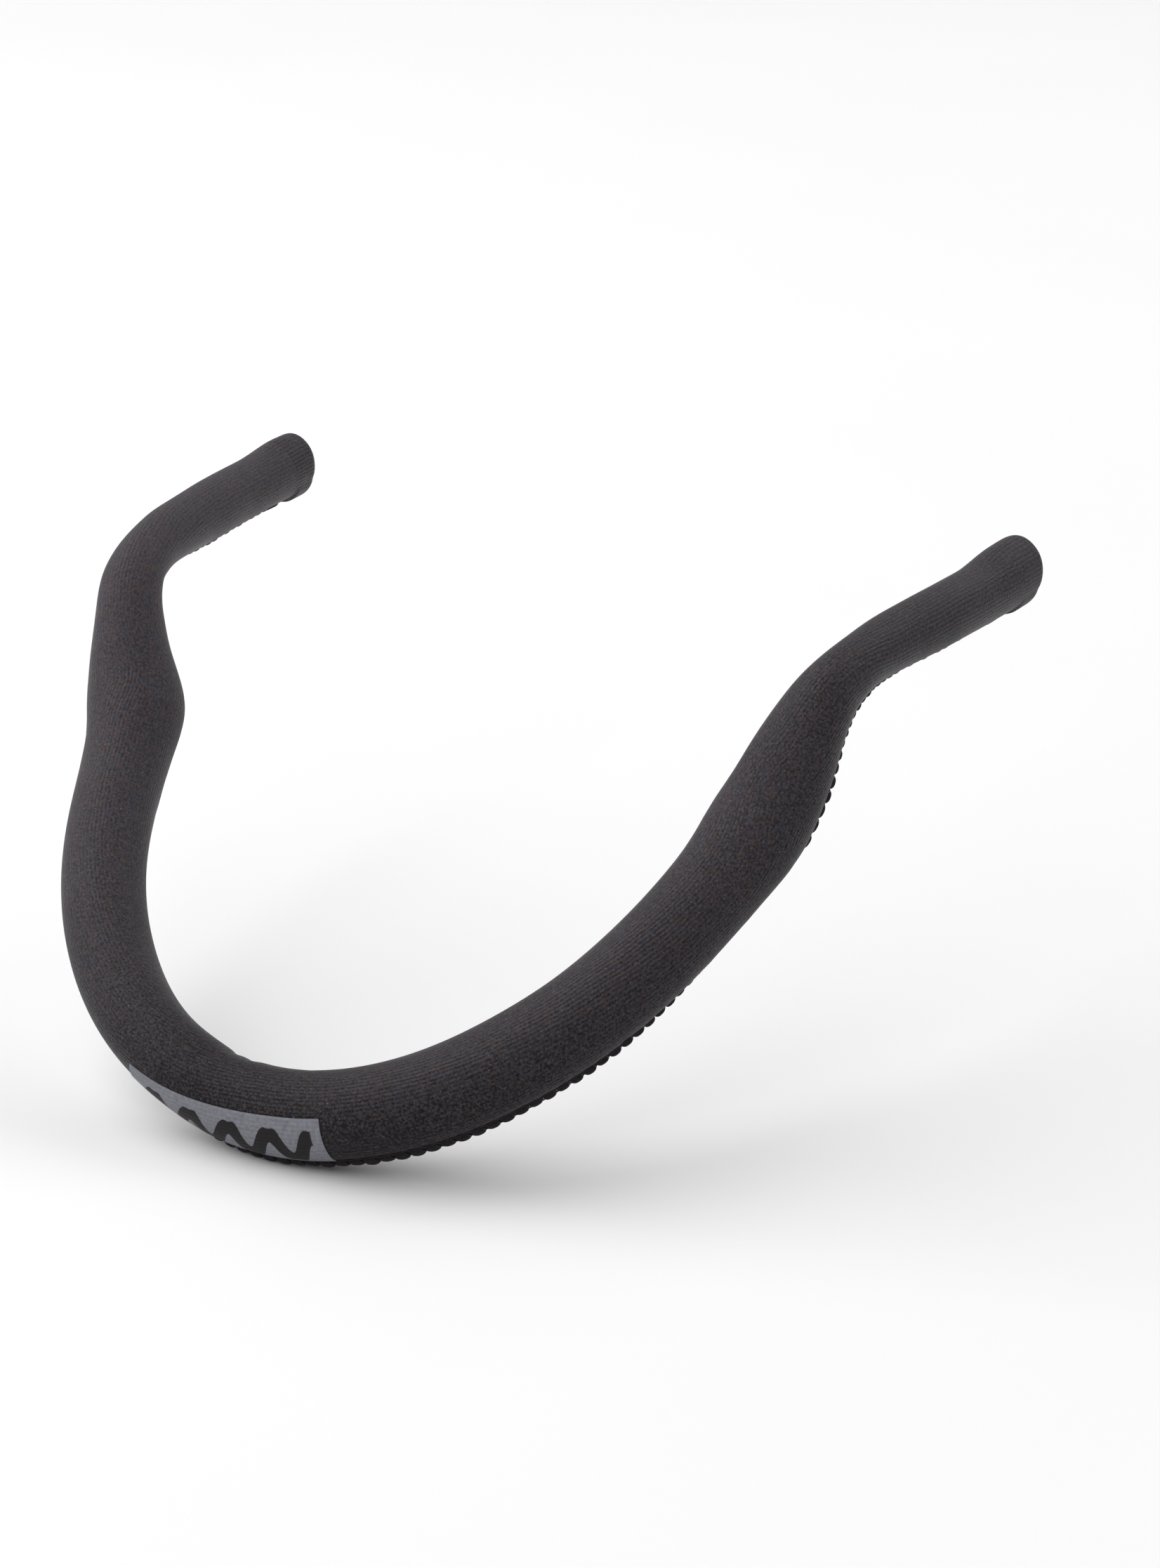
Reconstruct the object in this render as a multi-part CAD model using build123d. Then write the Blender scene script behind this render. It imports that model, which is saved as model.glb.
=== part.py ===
from build123d import *

import os
from math import acos, tan

# Floating eyeglass retainer strap: a sewn neoprene tube that is pulled over both temple arms
# and passes round the wearer's neck. A closed-cell foam rod fills its middle, so that it floats.
#
# Frame, in mm: the origin is where the middle of the float rests on the nape of the neck.
# +Y points forward, to the glasses, +Z up, and +X to the wearer's right.
# A distance, and a station, is measured along the centre of the tube from its right mouth.

# Route of the tube's centre: the right half's corners, from the mouth back to the nape
MOUTH = (68.3, 111.0, 63.0)
EAR_CORNER = (64.0, 51.5, 63.0)
SHOULDER_CORNER = (57.0, 43.0, 39.5)
SIDE_CORNER = (48.0, 16.5, 21.5)
BACK_CORNER = (30.5, -1.0, 8.0)
NAPE_CORNER = (11.0, -7.0, 0.0)
CORNER_RADII = [17.0, 34.0, 62.0, 44.0, 44.0]

# Fabric: jersey on both faces of a neoprene sheet, and the gap left between touching pieces
WALL = 1.75
GAP = 0.05

# Grip, the stretch that holds a temple arm
SOCKET_RADIUS = 3.0
GRIP_RADIUS = SOCKET_RADIUS + WALL + 0.1
CUFF_LENGTH = 8.0
CUFF_RADIUS = 5.5
MOUTH_ROUNDING = 1.6
CUFF_BACK_ROUNDING = 0.5

# Stations where the tube is divided, so that it can flex between them
EAR_START = 67.0
NECK_START = 71.0
FLOAT_START = 81.0

# Tube radius where it opens out over the end of the foam rod: distance, radius
FLOAT_RADIUS = 7.0
NECK_SHAPE = [(NECK_START, 6.1), (74.0, 6.6), (77.5, 7.1), (FLOAT_START, 7.5)]
SHOULDER_SHAPE = [(FLOAT_START, 7.5), (84.5, 7.65), (88.5, 7.45), (93.0, 7.1), (97.0, FLOAT_RADIUS)]
EAR_SHAPE = [(EAR_START, GRIP_RADIUS), (69.0, 5.45), (NECK_START, 6.1)]

# Foam rod inside the float
FOAM_RADIUS = FLOAT_RADIUS - WALL - GAP
FOAM_START = FLOAT_START + 1.5
FOAM_ROUNDING = 3.0

# Overlocked seam along the underside: one scallop of seam allowance to each stitch
STITCH_PITCH = 2.2
SCALLOP_RADIUS = 1.0
SCALLOP_WIDTH = 1.8
SEAM_START = 11.2

# The seam hangs under the tube. At the nape it leans to the outside, and at the necks it spreads
# sideways: each lean is sideways per unit down, and eases in and out between stations
NAPE_LEAN = 0.45
NAPE_LEAN_IN = (86.0, 121.0)
NAPE_LEAN_OUT = (170.0, 202.0)
NECK_LEAN = 0.16
NECK_LEAN_IN = (35.0, 50.0)
NECK_LEAN_OUT = (90.0, 110.0)

# Bar tack that closes each end of the seam
TACK_LENGTH = 2.4
TACK_WIDTH = 2.6
TACK_HEIGHT = 0.9
TACK_ROUNDING = 0.4

# Printed label on the outer face of the float, to the wearer's left of the middle
LABEL_START = 164.2
LABEL_LENGTH = 34.0
LABEL_THICKNESS = 0.15
LABEL_FROM_SEAM = 12.0
LABEL_SPAN = 70.0


def strap_route():
    """The centreline from the right mouth to the left one: straight runs joined by arcs."""
    right = [MOUTH, EAR_CORNER, SHOULDER_CORNER, SIDE_CORNER, BACK_CORNER, NAPE_CORNER]
    left = [(-x, y, z) for x, y, z in reversed(right)]
    radii = CORNER_RADII + CORNER_RADII[::-1]
    return FilletPolyline(*right, *left, radius=radii).wire()


def straight_grip_length():
    """How far from the mouth the tube stays straight before it turns down behind the ear."""
    run = Vector(EAR_CORNER) - Vector(MOUTH)
    drop = Vector(SHOULDER_CORNER) - Vector(EAR_CORNER)
    turn = acos(run.normalized().dot(drop.normalized()))
    return run.length - CORNER_RADII[0] * tan(turn / 2)


ROUTE = strap_route()
LENGTH = ROUTE.length
BEND_START = straight_grip_length()


def eased(distance, start, end):
    """0 before start, 1 after end, and a smooth rise between them."""
    share = min(max((distance - start) / (end - start), 0.0), 1.0)
    return share * share * (3.0 - 2.0 * share)


def towards_seam(distance):
    """The way down from the tube's centre to its seam, before it is squared to the tube."""
    from_end = min(distance, LENGTH - distance)
    side = 1 if distance < LENGTH / 2 else -1
    neck = eased(from_end, *NECK_LEAN_IN) * (1.0 - eased(from_end, *NECK_LEAN_OUT))
    nape = eased(distance, *NAPE_LEAN_IN) * (1.0 - eased(distance, *NAPE_LEAN_OUT))
    return Vector(NECK_LEAN * neck * side, -NAPE_LEAN * nape, -1)


def station(distance):
    """The plane square to the tube there, with its x axis towards the seam."""
    centre = ROUTE @ (distance / LENGTH)
    along = (ROUTE % (distance / LENGTH)).normalized()
    down = towards_seam(distance)
    return Plane(origin=centre, x_dir=down - along * down.dot(along), z_dir=along)


def radius_at(distance):
    """The tube's outer radius there, on the right half or its mirror image."""
    from_end = min(distance, LENGTH - distance)
    shape = [(BEND_START, GRIP_RADIUS)] + EAR_SHAPE + NECK_SHAPE[1:] + SHOULDER_SHAPE[1:]
    if from_end <= shape[0][0]:
        return GRIP_RADIUS
    for (near, near_radius), (far, far_radius) in zip(shape, shape[1:]):
        if from_end <= far:
            return near_radius + (far_radius - near_radius) * (from_end - near) / (far - near)
    return FLOAT_RADIUS


def rod(start, end, radius):
    """A solid round bar along the route."""
    path = ROUTE.trim(start / LENGTH, end / LENGTH)
    return sweep(station(start) * Circle(radius), path=path)


def hose(start, end, outer, inner):
    """A hollow round tube along the route."""
    return rod(start, end, outer) - rod(start, end, inner)


def flared(shape, inset=0.0):
    """A solid that follows a list of distances and radii, each radius less the inset."""
    rings = [station(distance) * Circle(radius - inset) for distance, radius in shape]
    return loft([ring.face() for ring in rings])


def flared_hose(shape):
    return flared(shape) - flared(shape, WALL)


def mirrored(part):
    return mirror(part, about=Plane.YZ)


def cuff():
    """The turned-in end of the sleeve: a thick soft lip round the mouth."""
    lip = hose(0, CUFF_LENGTH - GAP, CUFF_RADIUS, SOCKET_RADIUS)
    for place, rounding in ((0.0, MOUTH_ROUNDING), (CUFF_LENGTH, CUFF_BACK_ROUNDING)):
        rims = lip.edges().filter_by(GeomType.CIRCLE).filter_by(lambda edge: edge.radius > GRIP_RADIUS)
        lip = fillet(rims.sort_by_distance(station(place).origin)[0], rounding)
    return lip


def grip_sleeve():
    return hose(CUFF_LENGTH, BEND_START, GRIP_RADIUS, SOCKET_RADIUS)


def bend_sleeve():
    return hose(BEND_START, EAR_START, GRIP_RADIUS, SOCKET_RADIUS)


def float_cover():
    """The sleeve over the foam rod: a plain tube with a wider shoulder at each end."""
    near = SHOULDER_SHAPE[-1][0]
    middle = hose(near, LENGTH - near, FLOAT_RADIUS, FLOAT_RADIUS - WALL)
    shoulder = flared_hose(SHOULDER_SHAPE)
    return middle + shoulder + mirrored(shoulder)


def foam_core():
    core = rod(FOAM_START, LENGTH - FOAM_START, FOAM_RADIUS)
    ends = core.faces().filter_by(GeomType.PLANE).edges()
    return fillet(ends, FOAM_ROUNDING)


def scallop(distance):
    """One half-round lobe of the seam allowance, standing on the tube."""
    ends = (distance - SCALLOP_RADIUS, distance + SCALLOP_RADIUS)
    base = max(radius_at(end) for end in (*ends, distance)) + GAP
    place = station(distance)
    section = Plane(place.origin, x_dir=place.x_dir, z_dir=place.y_dir)
    outer_side = Pos(SCALLOP_RADIUS, 0) * Rectangle(2 * SCALLOP_RADIUS, 2 * SCALLOP_RADIUS)
    half = Circle(SCALLOP_RADIUS) & outer_side
    return extrude(section * Pos(base, 0) * half, amount=SCALLOP_WIDTH / 2, both=True)


def seam(start, end):
    """The scallops whose stitches lie wholly between two distances."""
    count = int((end - start) / STITCH_PITCH)
    spare = (end - start) - count * STITCH_PITCH
    first = start + spare / 2 + STITCH_PITCH / 2
    return Compound(children=[scallop(first + index * STITCH_PITCH) for index in range(count)])


def seam_tack():
    """The bar tack where the seam allowance is turned in under the cuff."""
    middle = SEAM_START - TACK_LENGTH / 2 - GAP
    block = Box(TACK_HEIGHT, TACK_WIDTH, TACK_LENGTH)
    block = fillet(block.edges().filter_by(Axis.Z), TACK_ROUNDING)
    return station(middle) * Pos(GRIP_RADIUS + GAP + TACK_HEIGHT / 2, 0, 0) * block


def label():
    """A thin printed panel on the outer face of the float, from the seam upwards."""
    inner = FLOAT_RADIUS + GAP / 2
    band = Circle(inner + LABEL_THICKNESS) - Circle(inner)
    reach = 2 * FLOAT_RADIUS
    low = Vector(reach, 0).rotate(Axis.Z, LABEL_FROM_SEAM)
    high = Vector(reach, 0).rotate(Axis.Z, LABEL_FROM_SEAM + LABEL_SPAN)
    wedge = make_face(Polyline((0, 0), low, low + high, high, close=True))
    path = ROUTE.trim(LABEL_START / LENGTH, (LABEL_START + LABEL_LENGTH) / LENGTH)
    return sweep(station(LABEL_START) * (band & wedge), path=path)


def side_pieces():
    """The pieces of the wearer's right side, by name; the left side mirrors them."""
    return {
        "cuff": cuff(),
        "cuff_tack": seam_tack(),
        "grip_sleeve": grip_sleeve(),
        "grip_seam": seam(SEAM_START, BEND_START),
        "bend_sleeve": bend_sleeve(),
        "bend_seam": seam(BEND_START, EAR_START),
        "ear_sleeve": flared_hose(EAR_SHAPE),
        "ear_seam": seam(EAR_START, NECK_START),
        "neck_sleeve": flared_hose(NECK_SHAPE),
        "neck_seam": seam(NECK_START, FLOAT_START),
    }


def main():
    os.makedirs("parts", exist_ok=True)
    nodes = {
        "float_cover": float_cover(),
        "float_seam": seam(FLOAT_START, LENGTH - FLOAT_START),
        "foam_core": foam_core(),
        "label_print": label(),
    }
    for name, piece in side_pieces().items():
        nodes["right_" + name] = piece
        nodes["left_" + name] = mirrored(piece)
    for name, piece in nodes.items():
        export_step(piece, f"parts/{name}.step")
    print(f"strap {LENGTH:.1f} mm from mouth to mouth, straight grip {BEND_START:.1f} mm")
    hinges = {"ear bend": (BEND_START + EAR_START) / 2, "neck": (NECK_START + FLOAT_START) / 2}
    for name, distance in hinges.items():
        place = station(distance)
        print(name, "at", place.origin, "along", place.z_dir)
    mouth = station(0)
    print("socket axis", -mouth.z_dir)


main()
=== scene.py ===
import math

import bpy
import numpy as np
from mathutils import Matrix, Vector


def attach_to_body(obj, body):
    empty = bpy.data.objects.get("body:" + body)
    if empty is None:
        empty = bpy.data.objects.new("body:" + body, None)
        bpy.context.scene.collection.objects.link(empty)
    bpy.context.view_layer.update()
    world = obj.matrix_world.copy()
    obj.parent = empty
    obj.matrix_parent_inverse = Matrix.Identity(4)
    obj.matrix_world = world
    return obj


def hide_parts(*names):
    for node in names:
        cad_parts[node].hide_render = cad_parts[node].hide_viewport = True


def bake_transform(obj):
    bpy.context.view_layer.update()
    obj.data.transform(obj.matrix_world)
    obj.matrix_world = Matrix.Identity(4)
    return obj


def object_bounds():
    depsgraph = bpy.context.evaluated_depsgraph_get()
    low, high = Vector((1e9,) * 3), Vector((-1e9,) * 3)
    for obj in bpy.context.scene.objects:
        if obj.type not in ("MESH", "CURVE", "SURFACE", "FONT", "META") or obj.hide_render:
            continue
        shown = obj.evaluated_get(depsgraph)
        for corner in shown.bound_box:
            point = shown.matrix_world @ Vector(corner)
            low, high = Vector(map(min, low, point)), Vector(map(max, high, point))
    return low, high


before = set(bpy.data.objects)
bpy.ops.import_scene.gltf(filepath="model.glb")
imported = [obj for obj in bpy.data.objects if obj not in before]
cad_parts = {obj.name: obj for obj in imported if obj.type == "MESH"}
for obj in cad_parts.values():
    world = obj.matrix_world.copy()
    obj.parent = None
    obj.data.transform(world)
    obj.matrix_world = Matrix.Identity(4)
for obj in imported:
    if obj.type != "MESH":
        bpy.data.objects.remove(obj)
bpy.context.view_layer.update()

# Lengths along and round the tube are in millimetres, and MM turns them into the frame's metres.
# Distances are measured along the tube's centre from the right mouth, as in the CAD.
MM = 0.001

# Centre of the tube: control points of the right half, from the mouth to the nape
RIGHT_HALF = [
    (68.3, 111.0, 63.0),
    (67.7, 88.2, 62.8),
    (65.3, 67.7, 63.4),
    (63.7, 48.2, 60.9),
    (57.3, 45.5, 40.4),
    (52.3, 26.6, 28.5),
    (43.7, 10.0, 16.7),
    (24.9, -5.1, 4.7),
    (0.0, -7.2, -1.9),
]

# Outer radius of the sleeve: distance from the mouth, radius
SLEEVE_SHAPE = [
    (12.0, 4.85), (30.0, 4.85), (42.0, 4.6), (50.0, 4.3), (56.0, 4.6), (61.0, 5.3),
    (66.0, 6.0), (71.0, 6.6), (76.0, 7.2), (80.0, 7.75), (84.0, 7.85), (88.0, 7.4),
    (93.0, 7.0), (99.0, 6.9), (125.0, 6.85), (150.0, 6.95), (176.0, 7.0),
]
WALL = 1.75
SOCKET_RADIUS = 3.0

# Share by which the right half of the float is fuller than even, and the left half slimmer. The necks
# differ on their own: share, distance from that side's mouth, width
FULLER_FLOAT = 0.02
FULLER_RIGHT_NECK = (0.04, 71.0, 6.0)
SLIMMER_LEFT_NECK = (0.06, 65.0, 5.0)

# Soft swellings and hollows: height in mm, place and width along the tube, place and width round it
# in radians from the seam. The first table measures from the right mouth, the second from the left.
FLOAT_FORMS = [
    (0.35, 140.0, 24.0, math.pi + 0.8, 0.9),
    (-0.85, 199.0, 21.0, math.pi + 0.8, 0.9),
    (-0.55, 181.0, 12.0, math.pi + 0.05, 0.75),
    (-0.35, 185.5, 4.0, math.pi + 0.05, 0.75),
    (-0.6, 198.0, 12.0, 0.35, 0.6),
]
LEFT_FORMS = [
    (0.5, 81.5, 4.5, -1.85, 1.0),
    (-0.45, 71.5, 4.5, -1.85, 1.0),
    (0.25, 75.0, 6.0, 1.3, 1.0),
    (-0.4, 86.0, 5.0, 1.3, 1.0),
    (0.25, 34.0, 8.0, 0.0, 1.1),
    (-0.2, 13.0, 5.0, 0.0, 1.1),
    (0.45, 48.0, 7.0, math.pi, 1.1),
    (0.2, 7.0, 5.0, math.pi, 1.1),
]

# Shallow cross folds inside the tightest bend: distance, depth, width, place round the tube
CREASES = [(181.0, 0.28, 1.1, 2.5), (184.6, 0.22, 0.9, 2.3), (169.5, 0.14, 1.2, 2.7)]
CREASE_SLANT = 1.5
CREASE_TURN = math.pi + 0.55
CREASE_SPREAD = 0.55

# Slight unevenness: share, length of a wave along the tube, waves round it, phase
UNEVENNESS = 0.07
UNEVEN_WAVES = [(0.35, 7.3, 2.0, 0.4), (0.2, 3.9, -3.0, 1.7), (0.45, 15.1, 1.0, 2.9)]
UNEVEN_START = 14.0
UNEVEN_OVER = 10.0

# The skin is drawn out towards its seam, with a valley on each side of it
SEAM_PULL = 0.025
SEAM_PULL_SPREAD = 0.5
VALLEY_DEPTH = 0.16
VALLEY_TURN = 0.24
VALLEY_SPREAD = 0.1
VALLEY_OVER = 3.0

# A fold on each side of the tube where it turns down behind the ear
EAR_FOLD_DEPTH = 0.2
EAR_FOLD_PLACE = 57.5
EAR_FOLD_WIDTH = 2.2
EAR_FOLD_TURN = 1.1
EAR_FOLD_SPREAD = 0.5

# Cuff: the turned-in lip round each mouth, thicker where the seam is folded into it
CUFF_LENGTH = 8.0
RIGHT_FLARE = 0.95
LEFT_FLARE = 0.5
FLARE_START = 16.0
FLARE_OVER = 12.0
LIP_DEPTH = 2.0
LUMP_HEIGHT = 0.75
LUMP_WIDTH = 0.85
LUMP_END = 6.4
LUMP_CREASE = 0.12
LUMP_CREASE_TURN = 1.15
LUMP_CREASE_SPREAD = 0.16
LUMP_OVER = 0.9
LUMP_FORWARD = 1.9
LIP_ROUNDNESS = 0.75
OVAL = 0.12
RIDGE = 0.3
LEFT_SHORTER = 1.2
RIGHT_TILT = 1.6
LEFT_TILT = 1.0

# Where the skin is divided, at stations that follow one body at every pose
GRIP_END = 47.0
BEND_END = 69.5
NECK_END = 84.0
BEND_BLEND = (50.5, 65.0)
NECK_BLEND = (70.8, 81.5)

# Overlocked seam: the scalloped fin and the threads that pinch it
PITCH = 2.2
FIN_HEIGHT = 0.95
FIN_HALF_WIDTH = 1.05
NOTCH_HEIGHT = 0.2
SEAM_START = 11.2
THREAD_RADIUS = 0.13
FIN_NARROWEST = 0.78
FIN_SUNK = 0.12
FIN_FOOT = -0.45
GROOVE_DEPTH = 0.22
GROOVE_SPREAD = 0.2
LOBES_BETWEEN = (0.78, 1.08)
LOBE_SLANT = 0.06

# Needle holes beside the fin, how far a thread slants between them, and how deep it sinks into the skin
HOLE_SIDEWAYS = 1.5
THREAD_SLANT = 0.35
THREAD_SUNK = 0.02

# Bar tack: where it starts and ends before the seam, its threads, their height and their zigzag
TACK_REACH = (2.3, 0.1)
TACK_THREADS = 9
TACK_RADIUS = 0.17
TACK_LIFT = 0.62
TACK_ZIGZAG = 0.12

# How the seam leans, as in the CAD, but by a finer table at the necks: distance from the mouth, lean
LEAN_FROM = 86.0
LEAN_OVER = 35.0
LEAN_END = 202.0
LEAN_END_OVER = 32.0
FULL_LEAN = 0.45
NECK_LEAN = [
    (38.0, 0.0), (46.0, 0.08), (53.0, 0.38), (58.0, 0.44), (62.0, 0.2), (66.0, 0.04), (70.0, 0.03),
    (75.0, 0.16), (80.0, 0.24), (86.0, 0.16), (96.0, 0.12), (114.0, 0.0),
]

# Printed label on the outside of the float
LABEL_START = 164.2
LABEL_LENGTH = 34.0
LABEL_FROM_SEAM = 12.0
LABEL_SPAN = 70.0
LABEL_THICKNESS = 0.12
WAVE_PITCH = 6.8
WAVE_SWING = 1.9
WAVE_MIDDLE = 3.6
WAVE_HALF_WIDTH = 1.15
LABEL_RADIUS = 7.0
LABEL_WALE_PITCH = 0.68
LABEL_PLAIN_EDGE = 1.5
EDGE_SOFTNESS = 0.05

# Cloth simulation of the float's sleeve, at a larger scale, which suits the solver
CLOTH_ROWS = 122
CLOTH_COLUMNS = 36
CLOTH_FRAMES = 22
CLOTH_SCALE = 20.0
CLOTH_CLEARANCE = 0.3
CLOTH_SPARE = 0.05
CLOTH_CAP = 0.6

# Mesh fineness
AROUND = 120
STEP = 0.6
RINGS_PER_STITCH = 12
CUFF_RINGS = 24
LIP_RINGS = 20
SOCKET_RINGS = 14
SHARP_ANGLE = 60.0

# Colours of the jersey's dye and of the lint on it
DARK_DYE = (0.006, 0.0045, 0.0055, 1.0)
WARM_DYE = (0.070, 0.054, 0.058, 1.0)
COOL_DYE = (0.057, 0.054, 0.066, 1.0)
LINT = (0.16, 0.15, 0.165, 1.0)

# How strong the painted highlight on the wale tops is along the strap: distance from the right mouth, share
WALE_HIGHLIGHT_ALONG = [
    (0.0, 1.0), (44.0, 1.0), (54.0, 0.6), (62.0, 0.2), (92.0, 0.25), (106.0, 0.8), (150.0, 0.85),
    (166.0, 0.6), (184.0, 0.75), (212.0, 0.6), (228.0, 0.2), (288.0, 0.1), (300.0, 0.5),
    (318.0, 0.55), (350.0, 0.5),
]
WALE_PITCH = 0.63

# Painted light and shade along the strap, lighter where more light falls: distance from the right mouth,
# share
PAINTED_LIGHT_ALONG = [
    (0.0, 0.3), (50.0, 0.32), (80.0, 0.41), (110.0, 0.34), (145.0, 0.26), (168.0, 0.13), (186.0, 0.05),
    (206.0, 0.24), (232.0, 0.39), (262.0, 0.54), (288.0, 0.61), (310.0, 0.53), (350.0, 0.46),
]

# The turned edge of each mouth, paler along a line: mm along the fabric of the cuff
RIM_PLACE = 0.3
RIM_HALF_WIDTH = 0.35

# Studio lights: name, place in metres, size, power, all aimed at one point
LIGHTS = [
    ("key", (-1.1, -0.2, 1.25), 2.2, 25.0),
    ("fill", (0.1, -1.2, 1.3), 1.2, 6.0),
    ("back", (0.5, 1.3, 1.2), 1.2, 8.0),
]
LIGHTS_AIM = (0.0, 0.05, 0.03)
WORLD_STRENGTH = 0.46
FLOOR_RADIUS = 4.0

# The camera, round the middle of the line between the two mouths
VIEW_AZIMUTH = 29.06
VIEW_ELEVATION = 20.03
VIEW_ROLL = -0.52
VIEW_DISTANCE = 828.5
VIEW_RIGHT = 10.48
VIEW_UP = 45.07
SENSOR = 36.0
LENS = 113.5


# ---------------------------------------------------------------- centreline

def smoothstep(x):
    x = np.clip(x, 0.0, 1.0)
    return x * x * (3.0 - 2.0 * x)


def smooth_table(x, table):
    """Values between the table's rows, eased by averaging over a short window."""
    places, values = zip(*table)
    shifts = np.linspace(-2.5, 2.5, 11)
    return sum(np.interp(x + shift, places, values) for shift in shifts) / len(shifts)


def spline(points, count):
    """A clamped cubic B-spline through control points, at count even parameters."""
    points = np.array(points, float)
    spans = len(points) - 3
    knots = np.concatenate([[0.0] * 3, np.linspace(0.0, spans, spans + 1), [spans] * 3])
    place = np.linspace(0.0, spans - 1e-9, count)
    weight = np.array([(place >= low) & (place < high) for low, high in zip(knots, knots[1:])], float)
    for degree in (1, 2, 3):
        rows = []
        for i in range(len(weight) - 1):
            left, right = knots[i + degree] - knots[i], knots[i + degree + 1] - knots[i + 1]
            row = np.zeros(count)
            if left > 0:
                row = row + (place - knots[i]) / left * weight[i]
            if right > 0:
                row = row + (knots[i + degree + 1] - place) / right * weight[i + 1]
            rows.append(row)
        weight = np.array(rows)
    return weight.T @ points


class Centreline:
    """The middle of the tube with, at any distance, its direction and the side the seam is on."""

    def __init__(self):
        left_half = [(-x, y, z) for x, y, z in reversed(RIGHT_HALF[:-1])]
        self.points = spline(RIGHT_HALF + left_half, 6001)
        runs = np.linalg.norm(np.diff(self.points, axis=0), axis=1)
        self.at = np.concatenate([[0.0], np.cumsum(runs)])
        self.length = self.at[-1]
        self.directions = np.gradient(self.points, self.at, axis=0)

    def read(self, table, distance):
        return np.stack([np.interp(distance, self.at, table[:, k]) for k in range(3)], axis=-1)

    def frames(self, distance):
        """Centres, directions, seam-side directions and their cross directions."""
        distance = np.asarray(distance, float)
        along = unit(self.read(self.directions, distance))
        beyond = distance - np.clip(distance, 0.0, self.length)
        centre = self.read(self.points, distance) + along * beyond[..., None]
        from_end = np.minimum(distance, self.length - distance)
        outward = np.where(distance < self.length / 2.0, 1.0, -1.0)
        down = np.zeros_like(centre)
        down[..., 0] = outward * smooth_table(from_end, NECK_LEAN)
        turning = smoothstep((distance - LEAN_FROM) / LEAN_OVER)
        down[..., 1] = -FULL_LEAN * turning * smoothstep((LEAN_END - distance) / LEAN_END_OVER)
        down[..., 2] = -1.0
        seam = unit(down - along * (down * along).sum(-1, keepdims=True))
        return centre, along, seam, np.cross(along, seam)


def unit(vectors):
    return vectors / np.linalg.norm(vectors, axis=-1, keepdims=True)


LINE = Centreline()


def from_mouth(distance):
    return np.minimum(distance, LINE.length - distance)


def on_side(distance, side):
    """A distance from one side's own mouth, as a distance from the right mouth."""
    return LINE.length - distance if side == "left" else distance


def wrapped(angle):
    """The angle from the seam, from -pi to pi."""
    return (angle + math.pi) % (2.0 * math.pi) - math.pi


# ---------------------------------------------------------------- surface

def gaussian(x, width):
    return np.exp(-(x / width) ** 2)


def soft_lumps(distance, angle):
    """Slight unevenness of foam and fabric, the same on every run."""
    waves = sum(share * np.sin(distance / length + turns * angle + phase)
                for share, length, turns, phase in UNEVEN_WAVES)
    return UNEVENNESS * waves * smoothstep((from_mouth(distance) - UNEVEN_START) / UNEVEN_OVER)


def inner_creases(distance, angle):
    """Shallow cross folds where the float bends tightest, on the side towards the neck."""
    side = gaussian(wrapped(angle - CREASE_TURN), CREASE_SPREAD)
    return -sum(depth * gaussian(distance - place - CREASE_SLANT * (angle - turn), width) * side
                for place, depth, width, turn in CREASES)


def swellings(forms, distance, angle):
    """The sum of a table of soft swellings, each of which fades along the tube and round it."""
    return sum(height * gaussian(distance - place, width) * gaussian(wrapped(angle - turn), spread)
               for height, place, width, turn, spread in forms)


def sleeve_radius(distance, angle):
    """Outer radius of the sleeve, in mm, at a distance along it and an angle from the seam."""
    near = from_mouth(distance)
    radius = smooth_table(near, SLEEVE_SHAPE) * (1.0 + fuller_right(distance))
    side = wrapped(angle)
    towards_seam = SEAM_PULL * radius * gaussian(side, SEAM_PULL_SPREAD)
    valleys = gaussian(side - VALLEY_TURN, VALLEY_SPREAD) + gaussian(side + VALLEY_TURN, VALLEY_SPREAD)
    fades = smoothstep((near - LUMP_END) / VALLEY_OVER)
    ear_fold = EAR_FOLD_DEPTH * gaussian(near - EAR_FOLD_PLACE, EAR_FOLD_WIDTH)
    ear_fold = ear_fold * gaussian(np.abs(side) - EAR_FOLD_TURN, EAR_FOLD_SPREAD)
    forms = swellings(FLOAT_FORMS, distance, angle) + swellings(LEFT_FORMS, LINE.length - distance, angle)
    folds = inner_creases(distance, angle) - ear_fold + forms
    lumps = soft_lumps(distance, angle)
    settled = SETTLED.at(distance, angle)
    at_seam = (towards_seam - VALLEY_DEPTH * valleys) * fades
    return radius + flare(distance, angle) + at_seam + folds + lumps + settled


def fuller_right(distance):
    """The share by which the sleeve is fuller on its right half, and slimmer on its left."""
    near = from_mouth(distance)
    share = np.clip((near - NECK_END) / (LINE.length / 2.0 - NECK_END), 0.0, 1.0)
    fuller = FULLER_FLOAT * np.sin(math.pi * share)
    right_neck, left_neck = (most * gaussian(near - place, width)
                             for most, place, width in (FULLER_RIGHT_NECK, SLIMMER_LEFT_NECK))
    return np.where(distance < LINE.length / 2.0, fuller + right_neck, -fuller - left_neck)


def flare(distance, angle):
    """How far the sleeve widens towards the mouth, into an oval that stands upright."""
    share = smoothstep((FLARE_START - from_mouth(distance)) / FLARE_OVER)
    most = np.where(distance < LINE.length / 2.0, RIGHT_FLARE, LEFT_FLARE)
    widening = most * (1.0 - gaussian(wrapped(angle), 1.15))
    ridge = RIDGE * gaussian(wrapped(angle - math.pi), 0.4)
    return share * (widening + ridge - OVAL * SLEEVE_SHAPE[0][1] * np.sin(angle) ** 2)


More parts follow.
